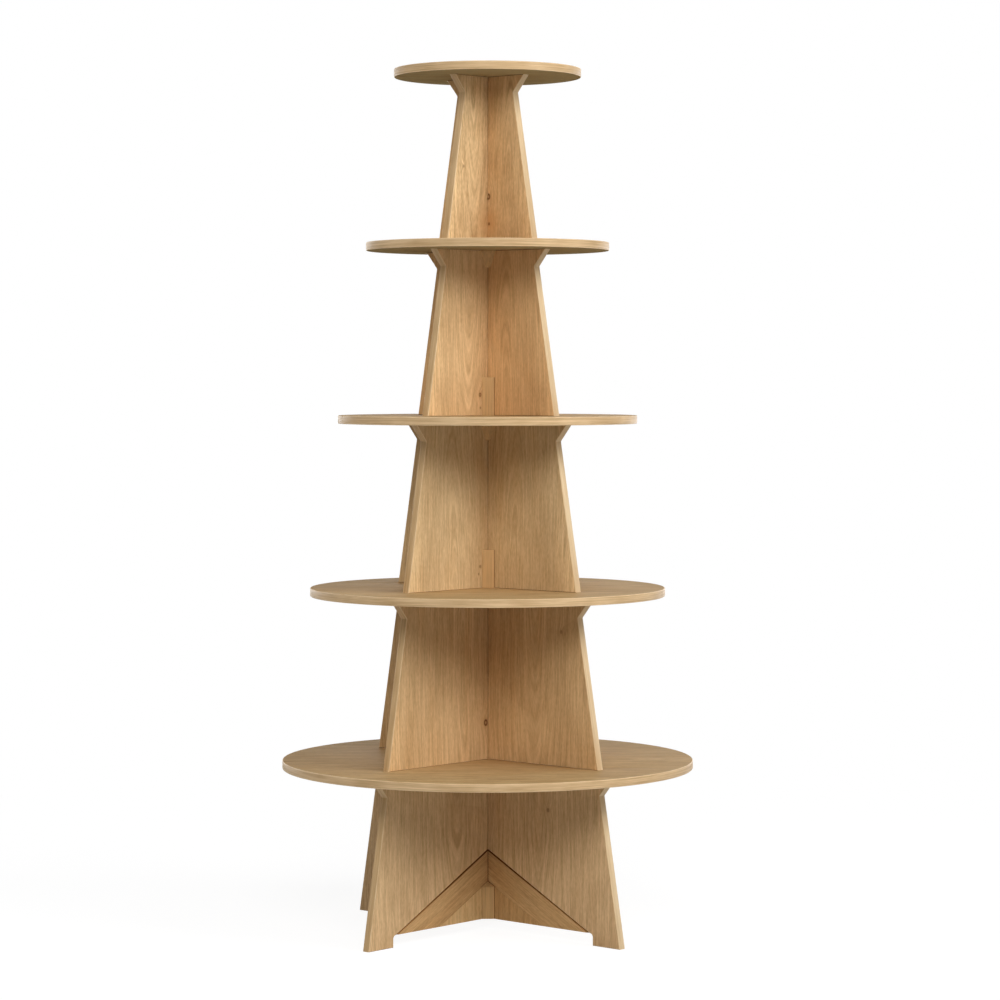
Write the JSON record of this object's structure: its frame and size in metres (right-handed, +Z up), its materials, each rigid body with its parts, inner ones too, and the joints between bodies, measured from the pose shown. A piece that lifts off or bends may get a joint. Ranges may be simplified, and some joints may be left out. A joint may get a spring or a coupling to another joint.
{
  "type": "tiered display rack",
  "caption": "Free-standing wooden display rack: round shelves that get smaller towards the top, each carried by a tapered pedestal of crossed panels.",
  "frame": {"origin": "centre of the footprint, on the floor", "axes": "+Z is up; the panels of every pedestal run along X and along Y"},
  "size_m": [0.7599, 0.76, 1.59],
  "materials": {
    "panel_board": "light veneer with upright grain, satin lacquer",
    "rail_board": "light wood with grain along the rail, satin lacquer",
    "shelf_board": "light veneer with banded rim, satin lacquer",
    "block_wood": "light solid wood, satin lacquer",
    "dowel": "plain beech, unfinished"
  },
  "bodies": {
    "root": {"pedestal_1_panel_x": "panel_board", "pedestal_1_panel_y": "panel_board", "pedestal_2_panel_x": "panel_board", "pedestal_2_panel_y": "panel_board", "pedestal_3_panel_x": "panel_board", "pedestal_3_panel_y": "panel_board", "pedestal_4_panel_x": "panel_board", "pedestal_4_panel_y": "panel_board", "pedestal_5_panel_x": "panel_board", "pedestal_5_panel_y": "panel_board", "shelf_1": "shelf_board", "shelf_2": "shelf_board", "shelf_3": "shelf_board", "shelf_4": "shelf_board", "shelf_5": "shelf_board", "base_rail_east": "rail_board", "base_rail_north": "rail_board", "base_rail_west": "rail_board", "base_rail_south": "rail_board", "base_gusset_east": "panel_board", "base_gusset_north": "panel_board", "base_gusset_west": "panel_board", "base_gusset_south": "panel_board", "base_post_northeast": "block_wood", "base_post_northwest": "block_wood", "base_post_southwest": "block_wood", "base_post_southeast": "block_wood", "pedestal_3_foot_block_northeast": "block_wood", "pedestal_3_foot_block_northwest": "block_wood", "pedestal_3_foot_block_southwest": "block_wood", "pedestal_3_foot_block_southeast": "block_wood", "pedestal_3_head_block_northeast": "block_wood", "pedestal_3_head_block_northwest": "block_wood", "pedestal_3_head_block_southwest": "block_wood", "pedestal_3_head_block_southeast": "block_wood", "pedestal_4_foot_block_northeast": "block_wood", "pedestal_4_foot_block_northwest": "block_wood", "pedestal_4_foot_block_southwest": "block_wood", "pedestal_4_foot_block_southeast": "block_wood", "pedestal_4_head_block_northeast": "block_wood", "pedestal_4_head_block_northwest": "block_wood", "pedestal_4_head_block_southwest": "block_wood", "pedestal_4_head_block_southeast": "block_wood", "shelf_1_dowels": "dowel", "shelf_2_dowels": "dowel", "shelf_3_dowels": "dowel", "shelf_4_dowels": "dowel", "shelf_5_dowels": "dowel"}
  },
  "joints": []
}
